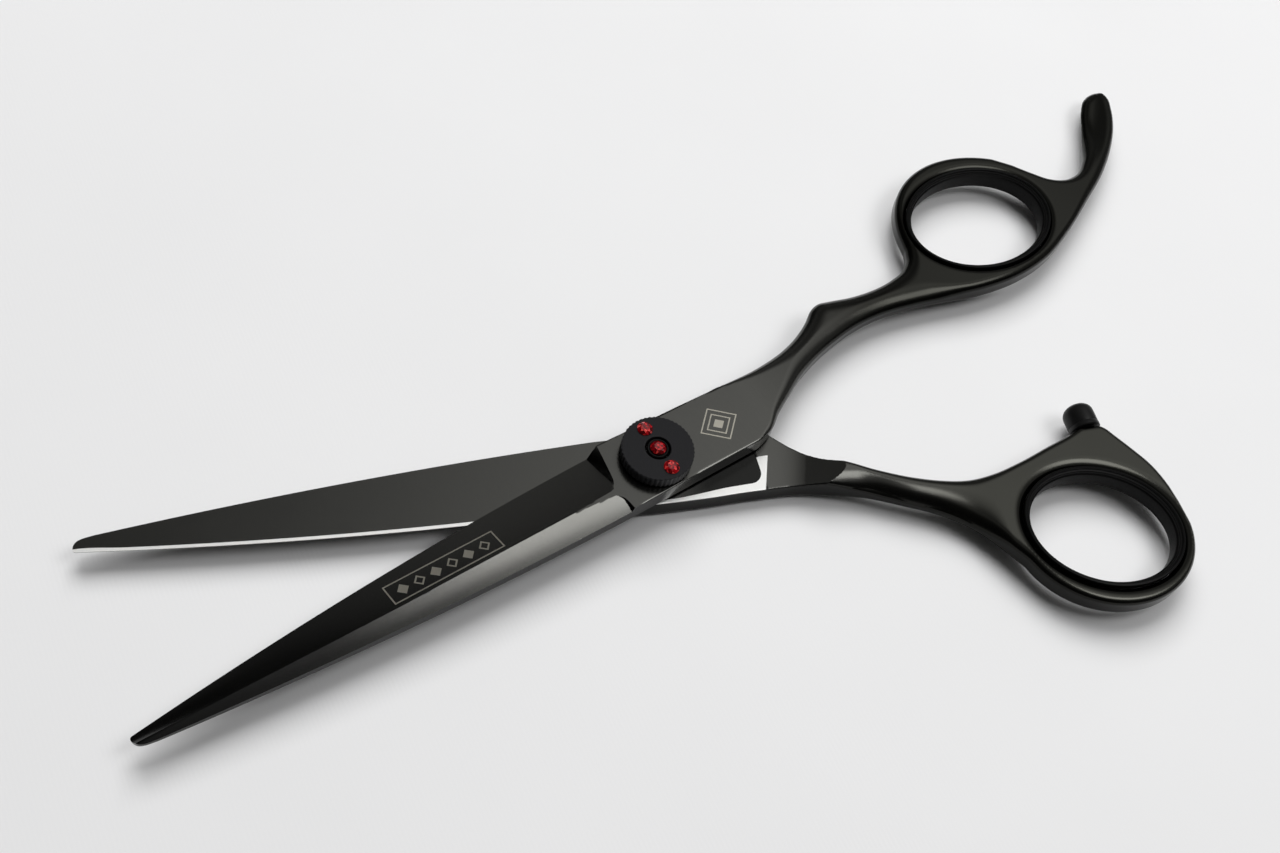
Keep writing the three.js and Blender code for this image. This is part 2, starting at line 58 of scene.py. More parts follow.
# ------------------------------------------------------------------ sizes shared with the CAD source
OPEN_ANGLE = math.radians(19.9)
FACE = 0.15
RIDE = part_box("ride_washer")[1].z / MM + FACE
PLATE = 3.0
REACH = 76.2
HEEL = -7.0
EDGE_HEEL_Y = 5.35
SPINE_HEEL_Y = -5.35
SPINE_BOW = 0.85
RIDGE_Y = -2.0
BUMPER_X = 66.1
BUMPER_SEAT_Y = 4.8
BUMPER_R = 2.35
BUMPER_L = 4.3
STUD_R = 0.7
FIT = 0.3
STEM_R = 1.5
NECK = 4.2
BOLT_HEAD_R = 4.2
WASHER_R = 3.8
WASHER_T = 0.6
BUSH_WALL = 0.9
BUSH_SEAT_W = PLATE - 1.8
DIAL_WALL = 1.0
DIAL_ROOF = 1.4
DIAL_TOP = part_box("tension_dial")[1].z / MM
DIAL_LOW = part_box("tension_dial")[0].z / MM
DIAL_R = (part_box("tension_dial")[1].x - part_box("tension_dial")[0].x) / 2 / MM
SCREW_HEAD_R = STEM_R
SCREW_HEAD_T = 0.9
SCREW_STEM_R = 0.6
DIAL_BORE_R = SCREW_HEAD_R + FIT

# ------------------------------------------------------------------ sizes of the finer detail
EDGE_BOW = 1.0
TIP_WIDTH = 1.8
FINGER_RING = {"x": 71.8, "y": 11.3, "tilt": -6, "a": 12.9, "b": 9.75}
THUMB_RING = {"x": 61.25, "y": 20.95, "tilt": 16, "a": 11.9, "b": 9.6}
EDGE_W = 0.28  # height of the outer facet at the cutting edge
RIDGE_TIP_W = 1.0
RIDGE_RISE = 2.2  # the ridge would stand this much higher at the heel
SPINE_TIP_W = 0.75
SPINE_RISE = 1.45
HOLLOW_FRONT = 0.10  # sag of the hollow ground facets
HOLLOW_BACK = 0.05
PLUNGE_X = -7.5  # where the grind runs up to the flat of the ricasso
PLUNGE_SLOPE = 2.2
RECESS_DEPTH = 0.12  # the hollow inside the half-moon
RECESS_END = 15.15
RECESS_CORNER = 1.8
MOON_LOW = 0.8  # the half-moon is ground bright down to here; below it the dark coat is painted shade under the other half
RAMP_BREAK = 5.8  # the inner face leaves the ride plane in a curve this long, then turns steeper
RAMP_SLOPE = 0.20
RAMP_STEEP = 0.29
CENTRE_STONE_SPREAD = 0.3  # the middle stone covers the land round its seat
HOLE_CROWN = 0.7  # the edge of a ring's hole is rounded wider than it is high
# the outer edge of each ring, an oval arc: x, y, long and short radius, tilt
FINGER_RIM = (74.1, 5.8, 19.1, 16.2, -56.2)
THUMB_RIM = (61.2, 21.0, 13.6, 12.1, 16)
DIAL_FLUTES = 48
STONE_POCKET = 0.9
BLADE_ROWS = 41
FINE = (EDGE_HEEL_Y - SPINE_HEEL_Y) / BLADE_ROWS  # mesh pitch on the halves
DIAL_PITCH = 0.14


# ================================================================== curves
def smoothstep(x, low, high):
    t = np.clip((x - low) / (high - low), 0.0, 1.0)
    return t * t * (3 - 2 * t)


def curve_through(pairs):
    """A smooth function of x through [x, value] pairs that never overshoots, flat beyond its ends."""
    xs, ys = np.array(pairs, float).T
    rise = np.diff(ys) / np.diff(xs)
    product = np.maximum(rise[:-1] * rise[1:], 0)
    total = rise[:-1] + rise[1:]
    slopes = np.zeros_like(ys)
    slopes[1:-1] = 2 * product / np.where(product > 0, total, 1.0)

    def value(x):
        x = np.clip(x, xs[0], xs[-1])
        i = np.clip(np.searchsorted(xs, x, side="right") - 1, 0, len(xs) - 2)
        h = xs[i + 1] - xs[i]
        t = (x - xs[i]) / h
        return ((2 * t**3 - 3 * t**2 + 1) * ys[i] + (t**3 - 2 * t**2 + t) * h * slopes[i]
                + (3 * t**2 - 2 * t**3) * ys[i + 1] + (t**3 - t**2) * h * slopes[i + 1])

    return value


def smooth_path(points, per_span=24):
    """A curve through plan points, tangents from their neighbours."""
    p = np.array(points, float)
    knots = np.concatenate([[0], np.cumsum(np.linalg.norm(np.diff(p, axis=0), axis=1))])
    tangent = np.gradient(p, knots, axis=0)
    rows = []
    for i in range(len(p) - 1):
        h = knots[i + 1] - knots[i]
        t = np.linspace(0, 1, per_span, endpoint=False)[:, None]
        rows.append((2 * t**3 - 3 * t**2 + 1) * p[i] + (t**3 - 2 * t**2 + t) * h * tangent[i]
                    + (3 * t**2 - 2 * t**3) * p[i + 1] + (t**3 - t**2) * h * tangent[i + 1])
    return np.vstack([*rows, p[-1:]])


def oval_points(x, y, a, b, tilt, start, end, count=160):
    """Points on an oval from one angle to another, in degrees."""
    t = np.radians(np.linspace(start, end, count))
    c, s = math.cos(math.radians(tilt)), math.sin(math.radians(tilt))
    u, v = a * np.cos(t), b * np.sin(t)
    return np.stack([x + u * c - v * s, y + u * s + v * c], 1)


def along(x):
    """How far along the blade a place is: 0 at the tip, 1 at the heel."""
    return np.clip((x + REACH) / (HEEL + REACH), 0.0, 1.0)


def edge_y(x):
    t = along(x)
    return EDGE_HEEL_Y * t + EDGE_BOW * 4 * t * (1 - t)


def spine_y(x):
    t = along(x)
    return -TIP_WIDTH + (SPINE_HEEL_Y + TIP_WIDTH) * t - SPINE_BOW * 4 * t * (1 - t)


# ================================================================== plan outlines
class Outline:
    """A closed plan outline that gives the signed distance to itself, negative inside."""

    PITCH = 0.25
    MARGIN = 2.0
    SPACING = 0.08

    def __init__(self, stretches, corner=0.25):
        path = np.vstack(stretches)
        path = self.resample(path)
        path = self.soften(path, corner)
        ahead = np.roll(path, -1, 0) - np.roll(path, 1, 0)
        area = np.sum(path[:, 0] * np.roll(path[:, 1], -1) - path[:, 1] * np.roll(path[:, 0], -1))
        normal = np.stack([ahead[:, 1], -ahead[:, 0]], 1) * np.sign(area)
        normal /= np.linalg.norm(normal, axis=1)[:, None]
        tree = kdtree.KDTree(len(path))
        for i, (x, y) in enumerate(path):
            tree.insert((x, y, 0.0), i)
        tree.balance()
        self.low = path.min(0) - self.MARGIN
        self.shape = np.ceil((path.max(0) + self.MARGIN - self.low) / self.PITCH).astype(int) + 1
        gx = self.low[0] + self.PITCH * np.arange(self.shape[0])
        gy = self.low[1] + self.PITCH * np.arange(self.shape[1])
        places = np.stack(np.meshgrid(gx, gy, indexing="ij"), -1).reshape(-1, 2)
        nearest = np.array([tree.find((x, y, 0.0))[1] for x, y in places])
        away = places - path[nearest]
        side = np.sum(away * normal[nearest], 1)
        far = np.copysign(np.linalg.norm(away, axis=1), side)
        self.grid = np.where(np.abs(far) < 0.5, side, far).reshape(self.shape)

    def resample(self, path):
        closed = np.vstack([path, path[:1]])
        step = np.linalg.norm(np.diff(closed, axis=0), axis=1)
        reach = np.concatenate([[0], np.cumsum(step)])
        count = int(reach[-1] / self.SPACING)
        at = np.linspace(0, reach[-1], count, endpoint=False)
        return np.stack([np.interp(at, reach, closed[:, k]) for k in (0, 1)], 1)

    def soften(self, path, corner):
        """Rounds the corners by a blur along the path."""
        width = corner / self.SPACING
        reach = int(3 * width) + 1
        kernel = np.exp(-0.5 * (np.arange(-reach, reach + 1) / width) ** 2)
        kernel /= kernel.sum()
        padded = np.vstack([path[-reach:], path, path[:reach]])
        return np.stack([np.convolve(padded[:, k], kernel, "valid") for k in (0, 1)], 1)

    def __call__(self, x, y):
        """Signed distance by bicubic interpolation."""
        u = np.clip((x - self.low[0]) / self.PITCH, 1.0, self.shape[0] - 2.001)
        v = np.clip((y - self.low[1]) / self.PITCH, 1.0, self.shape[1] - 2.001)
        i, j = u.astype(int), v.astype(int)
        wx, wy = self.weights(u - i), self.weights(v - j)
        flat = self.grid.ravel()
        columns = self.shape[1]
        total = np.zeros_like(u)
        for a in range(4):
            row = np.zeros_like(u)
            for b in range(4):
                row += wy[b] * flat[(i + a - 1) * columns + j + b - 1]
            total += wx[a] * row
        return total

    @staticmethod
    def weights(t):
        return (
            ((-0.5 * t + 1.0) * t - 0.5) * t,
            (1.5 * t - 2.5) * t * t + 1.0,
            ((-1.5 * t + 2.0) * t + 0.5) * t,
            (0.5 * t - 0.5) * t * t,
        )


def spine_stretch():
    x = np.linspace(-73.6, HEEL, 120)
    return np.stack([x, spine_y(x)], 1)


def edge_stretch():
    x = np.linspace(HEEL - 0.5, -75.9, 160)
    return np.stack([x, edge_y(x)], 1)


def tip_stretch():
    return smooth_path([(-REACH, 0.0), (-REACH, -0.75), (0.4 - REACH, -1.45), (1.3 - REACH, -1.85)], 8)


def finger_outline():
    """Finger half: from the tip along the spine, round the ring and rest, back along the edge."""
    lower = smooth_path([
        (14.9, -5.1), (17.2, -4.4), (20.3, -2.4), (23.9, -0.5), (28.1, 1.6), (32.3, 3.0), (36.7, 3.95),
        (41.0, 4.5), (46.0, 4.4), (52.2, 3.3), (58.0, 1.8), (64.0, 0.3), (70.5, -0.45), (77.6, 0.2),
        (84.1, 2.35), (92.2, 5.9), (99.0, 9.1), (104.5, 12.6), (108.6, 16.1), (111.2, 19.2),
        (112.7, 21.8), (112.8, 23.2), (111.4, 24.1), (109.0, 23.7), (106.5, 21.8), (103.7, 18.7),
        (100.8, 15.6), (97.8, 12.8), (94.6, 11.0), (91.4, 10.9), (88.9, 12.2), (86.9, 14.6), (84.9, 17.5),
    ])
    ring = oval_points(*FINGER_RIM, 112, 210)
    upper = smooth_path([
        (57.2, 12.2), (56.1, 10.6), (54.2, 9.4), (51.4, 8.75), (47.6, 8.6), (43.2, 9.15), (39.6, 10.1),
        (37.6, 10.5), (36.4, 10.2), (34.2, 8.8), (31.2, 7.3), (27.2, 6.05), (22.0, 5.25), (14.0, 4.95),
    ])
    flat = [(HEEL, EDGE_HEEL_Y)]
    return Outline([tip_stretch(), spine_stretch(), lower, ring, upper, flat, edge_stretch()])


def thumb_outline():
    """Thumb half: from the tip along the spine, round the closing stop and ring, back along the edge."""
    lower = smooth_path([
        (14.2, -4.6), (16.8, -3.6), (18.9, -1.6), (20.9, 0.4), (24.1, 3.0), (28.0, 4.75), (31.8, 6.6),
        (36.0, 8.3), (40.3, 9.55), (44.4, 10.2), (48.4, 9.9), (53.0, 8.75), (58.2, 7.0), (62.0, 5.75),
        (BUMPER_X - BUMPER_R + 0.5, BUMPER_SEAT_Y),
    ])
    outer = smooth_path([
        (BUMPER_X + BUMPER_R - 0.9, BUMPER_SEAT_Y), (68.3, 5.35), (69.4, 6.9), (71.2, 9.6), (72.95, 12.6),
        (74.0, 15.9), (74.5, 19.5),
    ])
    ring = oval_points(*THUMB_RIM, -10, 148)
    upper = smooth_path([
        (47.0, 22.0), (45.5, 19.9), (43.6, 17.6), (41.2, 15.4), (38.2, 13.5), (34.5, 11.7), (29.2, 9.2),
        (24.6, 7.6), (20.0, 6.5), (14.0, 6.1), (6.0, 6.05), (0.0, 5.85), (-4.0, 5.6),
    ])
    return Outline([tip_stretch(), spine_stretch(), lower, outer, ring, upper, edge_stretch()])


# ================================================================== implicit solids
def round_meet(a, b, r):
    """Intersection of two solids with its edge rounded by r."""
    u = np.maximum(a + r, 0.0)
    v = np.maximum(b + r, 0.0)
    return np.minimum(np.maximum(a, b), -r) + np.hypot(u, v)


def bore(x, y, radius):
    return np.hypot(x, y) - radius


def facet_height(x, y):
    """Outer face of the blade and of the ricasso behind it."""
    t = along(x)
    edge, spine = edge_y(x), spine_y(x)
    ridge_y = np.maximum(RIDGE_Y, spine + 0.3 * (edge - spine))
    ridge_w = RIDGE_TIP_W + RIDGE_RISE * t**0.8
    spine_w = SPINE_TIP_W + SPINE_RISE * t**0.75
    s = (edge - y) / (edge - ridge_y)
    front = EDGE_W + (ridge_w - EDGE_W) * s - HOLLOW_FRONT * 4 * np.clip(s * (1 - s), -0.2, 1)
    u = (y - spine) / (ridge_y - spine)
    back = spine_w + (ridge_w - spine_w) * u - HOLLOW_BACK * 4 * np.clip(u * (1 - u), -0.2, 1)
    foot = PLUNGE_X - 1.1 * np.exp(-(((y - RIDGE_Y) / 0.9) ** 2))
    return np.minimum(np.minimum(front, back) + PLUNGE_SLOPE * np.maximum(x - foot, 0), PLATE)


def recess_distance(x, y, border):
    """Negative over the hollow of the inner face, inside the ride line and half-moon."""
    width = curve_through([(-76, 0.45), (1, 0.55), (6, 0.9), (10, 1.2), (20, 1.3)])(x)
    return round_meet(y - border(x) + width, x - RECESS_END, RECESS_CORNER)


def ramp_start(y):
    """Where the coated ramp of the inner face begins."""
    return 15.2 + 0.36 * (5.55 - y)


class Half:
    """One half of the shears in its half frame."""

    def __init__(self, outline, ring, outer, inner, rounding, crown, border, hole_rounding, scoop, ridge):
        self.outline = outline
        oval = [ring[key] for key in ("x", "y", "a", "b", "tilt")]
        self.hole = Outline([oval_points(*oval, 0, 360, 400)[:-1]])
        self.outer = curve_through(outer)
        self.inner = curve_through(inner)
        self.rounding = curve_through(rounding)
        self.crown = curve_through(crown)
        self.border = curve_through(border)
        self.hole_rounding = hole_rounding
        self.scoop = scoop
        self.ridge = ridge

    def inner_face(self, x, y):
        run = np.maximum(x - ramp_start(y), 0)
        curved = np.minimum(run, RAMP_BREAK)
        ramp = FACE - RAMP_SLOPE * curved**3 / (3 * RAMP_BREAK**2) - RAMP_STEEP * (run - curved)
        return np.maximum(ramp, self.ridge(x, y) - self.inner(x))

    def __call__(self, x, y, w):
        r = self.rounding(x)
        plan = self.outline(x, y) * self.crown(x)
        top = w - np.minimum(facet_height(x, y), self.outer(x)) + self.scoop(x, y)
        low = self.inner_face(x, y) - w
        shell = np.maximum(round_meet(plan, top, r), round_meet(plan, low, r))
        pocket = np.maximum(recess_distance(x, y, self.border), w - FACE - RECESS_DEPTH)
        shell = np.maximum(shell, -pocket)
        hole = -self.hole(x, y) * HOLE_CROWN
        rim = self.hole_rounding
        rounded = np.maximum(round_meet(hole, top, rim), round_meet(hole, low, rim))
        return np.where(x > 40, np.maximum(shell, rounded), shell)


def finger_scoop(x, y):
    """The dished upper face of the finger rest, falling towards the ring."""
    lateral = np.hypot(x - 88.0, y - 42.0) - 31.3
    return 1.15 * smoothstep(x, 95, 104) * smoothstep(-lateral, -2.2, 2.6)


def no_relief(x, y):
    return 0.0


def thumb_ridge(x, y):
    """How far the crowned shank of the thumb half falls away from its crest."""
    crest = curve_through([(20, 4.7), (28, 5.4), (36, 9.0), (44, 11.3), (50, 12.0)])(x)
    fall = curve_through([(30, 0.13), (38, 0.10), (47, 0.0)])(x)
    return np.minimum(fall * (y - crest) ** 2, 1.2)


def finger_bores(x, y, w):
    shaft = bore(x, y, STEM_R + 2 * FIT + BUSH_WALL)
    recess = np.maximum(bore(x, y, DIAL_R - DIAL_WALL), BUSH_SEAT_W - w)
    return np.minimum(shaft, recess)


def thumb_bores(x, y, w):
    head_pocket = 0.9
    neck = np.maximum(np.abs(x), np.abs(y)) - (NECK / 2 + FIT)
    head = np.maximum(bore(x, y, BOLT_HEAD_R + FIT), (PLATE - head_pocket) - w)
    washer = np.maximum(bore(x, y, WASHER_R + FIT), w - (FACE + FIT + WASHER_T))
    stud = np.maximum(np.hypot(x - BUMPER_X, w) - (STUD_R + FIT), y - (BUMPER_SEAT_Y + 3.0))
    return np.minimum(np.minimum(neck, head), np.minimum(washer, stud))


def ride_border(heel):
    """What the ride line is measured from: the cutting edge, then the edge of the ricasso."""
    blade = [(x, float(edge_y(np.array(float(x))))) for x in range(-76, -7, 6)]
    return blade + heel


def make_finger_solid():
    half = Half(
        finger_outline(), FINGER_RING,
        outer=[(10, 3), (16, 3), (25, 2.8), (36, 2.5), (50, 2.2), (60, 2.0), (86, 2.0), (95, 1.85),
               (113, 1.4)],
        inner=[(20, 2.1), (50, 1.9), (60, 1.7), (86, 1.7), (95, 1.6), (113, 1.3)],
        rounding=[(-8, 0.0), (-4, 0.1), (13.5, 0.12), (16.5, 0.6), (22, 1.2), (30, 1.6), (54, 1.6),
                  (62, 1.1), (86, 1.1), (100, 1.35), (113, 1.2)],
        crown=[(14, 1.0), (22, 0.75), (34, 0.55), (54, 0.55), (62, 0.9), (84, 0.9), (96, 0.75), (113, 0.75)],
        border=ride_border([(HEEL, 5.35), (20, 5.1)]),
        hole_rounding=0.8,
        scoop=finger_scoop,
        ridge=no_relief,
    )
    return lambda x, y, w: np.maximum(half(x, y, w), -finger_bores(x, y, w)), half


def make_thumb_solid():
    half = Half(
        thumb_outline(), THUMB_RING,
        outer=[(10, 3), (16, 2.95), (23, 2.5), (30, 2.0), (41, 1.75), (50, 1.6), (75, 1.6)],
        inner=[(20, 1.9), (41, 1.9), (50, 2.0), (75, 2.0)],
        rounding=[(-8, 0.0), (-4, 0.1), (13.5, 0.12), (17, 0.2), (25, 0.4), (31, 0.9), (44, 1.1),
                  (52, 0.9), (75, 0.9)],
        crown=[(24, 1.0), (31, 0.7), (44, 0.7), (54, 1.0), (75, 1.0)],
        border=ride_border([(HEEL, 5.4), (0, 5.85), (6, 6.05), (20, 6.1)]),
        hole_rounding=1.2,
        scoop=no_relief,
        ridge=thumb_ridge,
    )
    return lambda x, y, w: np.maximum(half(x, y, w), -thumb_bores(x, y, w)), half


# ================================================================== mesher
def gradient(field, p, step=0.01):
    rows = []
    for k in range(3):
        d = np.zeros(3)
        d[k] = step
        ahead, back = p + d, p - d
        rows.append(field(*ahead.T) - field(*back.T))
    g = np.stack(rows, 1)
    return g / np.maximum(np.linalg.norm(g, axis=1), 1e-9)[:, None]


def find_crossings(field, axes):
    """Where the surface cuts the grid's edges, with the four cells round each edge."""
    values = field(*[g.ravel() for g in np.meshgrid(*axes, indexing="ij")])
    values = values.reshape([len(a) for a in axes])
    inside = values < 0
    found = []
    for k in range(3):
        ahead = [slice(None)] * 3
        ahead[k] = slice(1, None)
        back = [slice(None)] * 3
        back[k] = slice(None, -1)
        at = np.argwhere(inside[tuple(back)] != inside[tuple(ahead)])
        step = np.zeros(3, int)
        step[k] = 1
        far = at + step
        a = np.stack([axes[m][at[:, m]] for m in range(3)], 1)
        b = np.stack([axes[m][far[:, m]] for m in range(3)], 1)
        va = values[tuple(at.T)]
        vb = values[tuple(far.T)]
        leaving = va < 0
        for _ in range(3):
            t = np.clip(va / (va - vb), 0.02, 0.98)[:, None]
            middle = a + (b - a) * t
            vm = field(*middle.T)
            first = (vm < 0) == (va < 0)
            a = np.where(first[:, None], middle, a)
            va = np.where(first, vm, va)
            b = np.where(first[:, None], b, middle)
            vb = np.where(first, vb, vm)
        t = (va / (va - vb))[:, None]
        m, n = (k + 1) % 3, (k + 2) % 3
        cells = []
        for dm, dn in ((0, 0), (-1, 0), (-1, -1), (0, -1)):
            cell = at.copy()
            cell[:, m] += dm
            cell[:, n] += dn
            cells.append(cell)
        found.append((a + (b - a) * t, np.stack(cells, 1), leaving))
    return found


def corner_normals(field, verts, faces):
    """One normal for each face corner, shared where the surface is smooth."""
    corners = faces.ravel()
    centre = np.repeat(verts[faces].mean(1), 4, axis=0)
    toward = centre - verts[corners]
    toward /= np.maximum(np.linalg.norm(toward, axis=1), 1e-9)[:, None]
    own = gradient(field, verts[corners] + 0.05 * toward, 0.006)
    mean = np.stack([np.bincount(corners, own[:, k], len(verts)) for k in range(3)], 1)
    mean /= np.maximum(np.linalg.norm(mean, axis=1), 1e-9)[:, None]
    agree = np.sum(own * mean[corners], 1)
    worst = np.ones(len(verts))
    np.minimum.at(worst, corners, agree)
    smooth = worst[corners] > math.cos(math.radians(6))
    return np.where(smooth[:, None], mean[corners], own)


def straight_rows(x, v):
    return v


def blade_rows(x, v):
    """Where row v of a half lies: the rows keep their place between the cutting edge and the spine."""
    edge = edge_y(x)
    return edge + v * (edge - spine_y(x)) / (EDGE_HEEL_Y - SPINE_HEEL_Y)


def contour(field, axes, rows=straight_rows):
    """Dual contouring: vertices, quads and corner normals of the solid where field < 0.

    Row v of the grid runs along y = rows(x, v), so that the rows can follow a curved edge.
    """
    def warped(x, v, w):
        return field(x, rows(x, v), w)

    found = find_crossings(warped, axes)
    counts = np.array([len(a) - 1 for a in axes])
    points = np.vstack([p for p, _, _ in found])
    cells = np.vstack([c for _, c, _ in found])
    leaving = np.concatenate([s for _, _, s in found])
    normals = gradient(warped, points)
    key = (cells[..., 0] * counts[1] + cells[..., 1]) * counts[2] + cells[..., 2]
    used, index = np.unique(key.ravel(), return_inverse=True)
    index = index.reshape(key.shape)
    flat = index.ravel()
    total = len(used)

    def gather(values):
        return np.bincount(flat, np.repeat(values, 4), total)

    number = gather(np.ones(len(points)))
    mass = np.stack([gather(points[:, k]) for k in range(3)], 1) / number[:, None]
    offset = np.sum(normals * points, 1)
    a = np.empty((total, 3, 3))
    b = np.empty((total, 3))
    for r in range(3):
        for c in range(3):
            a[:, r, c] = gather(normals[:, r] * normals[:, c])
        b[:, r] = gather(normals[:, r] * offset)
    b -= np.einsum("nij,nj->ni", a, mass)
    a += 0.02 * number[:, None, None] * np.eye(3)
    verts = mass + np.linalg.solve(a, b[..., None])[..., 0]
    ijk = np.stack([used // (counts[1] * counts[2]), used // counts[2] % counts[1], used % counts[2]], 1)
    for k in range(3):
        verts[:, k] = np.clip(verts[:, k], axes[k][ijk[:, k]], axes[k][ijk[:, k] + 1])
    verts[:, 1] = rows(verts[:, 0], verts[:, 1])
    faces = np.where(leaving[:, None], index, index[:, ::-1])
    return verts, faces, corner_normals(field, verts, faces)


# ================================================================== making objects
def place_half(thumb):
    """Half frame to part frame, in metres."""
    turn = Matrix.Rotation(-OPEN_ANGLE / 2 if thumb else OPEN_ANGLE / 2, 4, "Z")
    flip = Matrix.Rotation(math.pi, 4, "X") if thumb else Matrix.Identity(4)
    return turn @ Matrix.Translation((0, 0, RIDE * MM)) @ flip @ Matrix.Scale(MM, 4)


PLACE_FINGER = place_half(False)
PLACE_THUMB = place_half(True)
PLACE_PIVOT = Matrix.Scale(MM, 4)


def add_piece(name, verts, faces, place, body, material, replaces=(), normals=None):
    """Makes a mesh piece from millimetre points, riding on a CAD body."""
    matrix = np.array(place)
    verts = np.asarray(verts, float)
    world = verts @ matrix[:3, :3].T + matrix[:3, 3]
    mesh = bpy.data.meshes.new(name)
    mesh.from_pydata(world.tolist(), [], [list(f) for f in faces])
    local = mesh.attributes.new("local", "FLOAT_VECTOR", "POINT")
    local.data.foreach_set("vector", verts.astype(np.float32).ravel())
    mesh.polygons.foreach_set("use_smooth", [True] * len(mesh.polygons))
    if normals is not None:
        turn = matrix[:3, :3] / MM
        mesh.normals_split_custom_set((normals @ turn.T).tolist())
    mesh.materials.append(material)
    mesh.update()
    piece = bpy.data.objects.new(name, mesh)
    bpy.context.scene.collection.objects.link(piece)
    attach(piece, body)
    if replaces:
        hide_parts(*replaces)
    return piece


def grid_axes(low, high, pitch):
    return [np.arange(a, b + pitch, pitch) for a, b in zip(low, high)]


def half_axes(x_low, x_high, y_low, y_high):
    """A grid for a half, its rows counted from the cutting edge, its levels close at the thin edge."""
    x = np.arange(x_low, x_high, FINE)
    y = np.concatenate([-np.arange(FINE / 2, -y_low, FINE)[::-1], np.arange(FINE / 2, y_high, FINE)])
    under = np.arange(-2.36, -0.1, 0.28)
    edge = np.array([0.04, 0.21, 0.36, 0.55, 0.78])
    over = np.arange(1.02, 3.4, 0.26)
    return [x, y, np.concatenate([under, edge, over])]


def add_half(name, node, solid, half, axes, place, body, material):
    verts, faces, normals = contour(solid, axes, blade_rows)
    piece = add_piece(name, verts, faces, place, body, material, [node], normals)
    bare = bare_distance(half, verts[:, 0], verts[:, 1])
    attribute = piece.data.attributes.new("bare", "FLOAT", "POINT")
    attribute.data.foreach_set("value", bare.astype(np.float32))
    # the steep faces are marked here for painted shade in the coat
    wall = piece.data.attributes.new("wall", "FLOAT", "CORNER")
    wall.data.foreach_set("value", (1 - smoothstep(np.abs(normals[:, 2]), 0.3, 0.85)).astype(np.float32))
    return piece


def bare_distance(half, x, y):
    """Positive where the inner face is ground bright: the ride line and the half-moon, whose bright part
    stops at MOON_LOW where painted shade of the other half begins.
    """
    moon = np.minimum(ramp_start(y) - x, np.maximum(y - MOON_LOW, -2 - x))
    return np.minimum(recess_distance(x, y, half.border), moon)


def turned(profile, sides):
    """A turned piece about Z from [radius, height] pairs, closed on the axis."""
    verts, faces, rows = [], [], []
    for r, z in profile:
        if r < 1e-6:
            rows.append([len(verts)] * sides)
            verts.append((0, 0, z))
            continue
        rows.append(list(range(len(verts), len(verts) + sides)))
        for i in range(sides):
            angle = 2 * math.pi * i / sides
            verts.append((r * math.cos(angle), r * math.sin(angle), z))
    for low, high in zip(rows, rows[1:]):
        for i in range(sides):
            j = (i + 1) % sides
            face = [low[i], low[j], high[j], high[i]]
            face = [v for n, v in enumerate(face) if v not in face[:n]]
            if len(face) > 2:
                faces.append(face)
    return verts, faces


def swept_oval(ring, profile, sides=160):
    """A closed profile of (offset from the hole's wall, w) pairs swept round a ring's hole."""
    c, s = math.cos(math.radians(ring["tilt"])), math.sin(math.radians(ring["tilt"]))
    verts, faces = [], []
    for i in range(sides):
        t = 2 * math.pi * i / sides
        u, v = ring["a"] * math.cos(t), ring["b"] * math.sin(t)
        nu, nv = u / ring["a"] ** 2, v / ring["b"] ** 2
        size = math.hypot(nu, nv)
        for offset, w in profile:
            pu, pv = u + offset * nu / size, v + offset * nv / size
            verts.append((ring["x"] + pu * c - pv * s, ring["y"] + pu * s + pv * c, w))
    count = len(profile)
    for i in range(sides):
        a, b = i * count, (i + 1) % sides * count
        for k in range(count):
            m = (k + 1) % count
            faces.append([a + k, a + m, b + m, b + k])
    return verts, faces


def crease(piece, degrees):
    piece.data.set_sharp_from_angle(angle=math.radians(degrees))
    return piece


# ================================================================== material graphs
class Graph:
    """A short way to write a node material."""

    def __init__(self, name):
        self.material = bpy.data.materials.new(name)
        self.material.use_nodes = True
        self.tree = self.material.node_tree
        self.shader = self.tree.nodes["Principled BSDF"]

    def put(self, socket, value):
        if isinstance(value, bpy.types.NodeSocket):
            self.tree.links.new(value, socket)
        elif value is not None:
            socket.default_value = value

    def node(self, kind, inputs=None, **settings):
        made = self.tree.nodes.new(kind)
        for key, value in settings.items():
            setattr(made, key, value)
        for key, value in (inputs or {}).items():
            self.put(made.inputs[key], value)
        return made

    def math(self, operation, a, b=None):
        return self.node("ShaderNodeMath", {0: a, 1: b}, operation=operation).outputs[0]

    def noise(self, vector, scale, detail=3.0, rough=0.5):
        inputs = {"Vector": vector, "Scale": scale, "Detail": detail, "Roughness": rough}
        return self.node("ShaderNodeTexNoise", inputs).outputs["Fac"]

    def ranged(self, value, low, high, to_low, to_high):
        inputs = {"Value": value, "From Min": low, "From Max": high, "To Min": to_low, "To Max": to_high}
        return self.node("ShaderNodeMapRange", inputs).outputs["Result"]

    def local(self):
        return self.node("ShaderNodeAttribute", attribute_name="local").outputs["Vector"]

    def stretched(self, vector, x, y, z):
        return self.node("ShaderNodeMapping", {"Vector": vector, "Scale": (x, y, z)}).outputs["Vector"]

    def split(self, vector):
        return self.node("ShaderNodeSeparateXYZ", {0: vector}).outputs

    def mix(self, share, a, b):
        made = self.node("ShaderNodeMix", data_type="RGBA")
        self.put(made.inputs[0], share)
        self.put(made.inputs[6], a)
        self.put(made.inputs[7], b)
        return made.outputs[2]

    def bump(self, height, strength, distance):
        inputs = {"Height": height, "Strength": strength, "Distance": distance}
        return self.node("ShaderNodeBump", inputs).outputs["Normal"]

    def finish(self, **inputs):
        for key, value in inputs.items():
            self.put(self.shader.inputs[key.replace("_", " ")], value)
        return self.material


def step(g, value, soft=0.02):
    """0 below zero and 1 above, softened over a hair's breadth."""
    return g.ranged(value, -soft, soft, 0.0, 1.0)


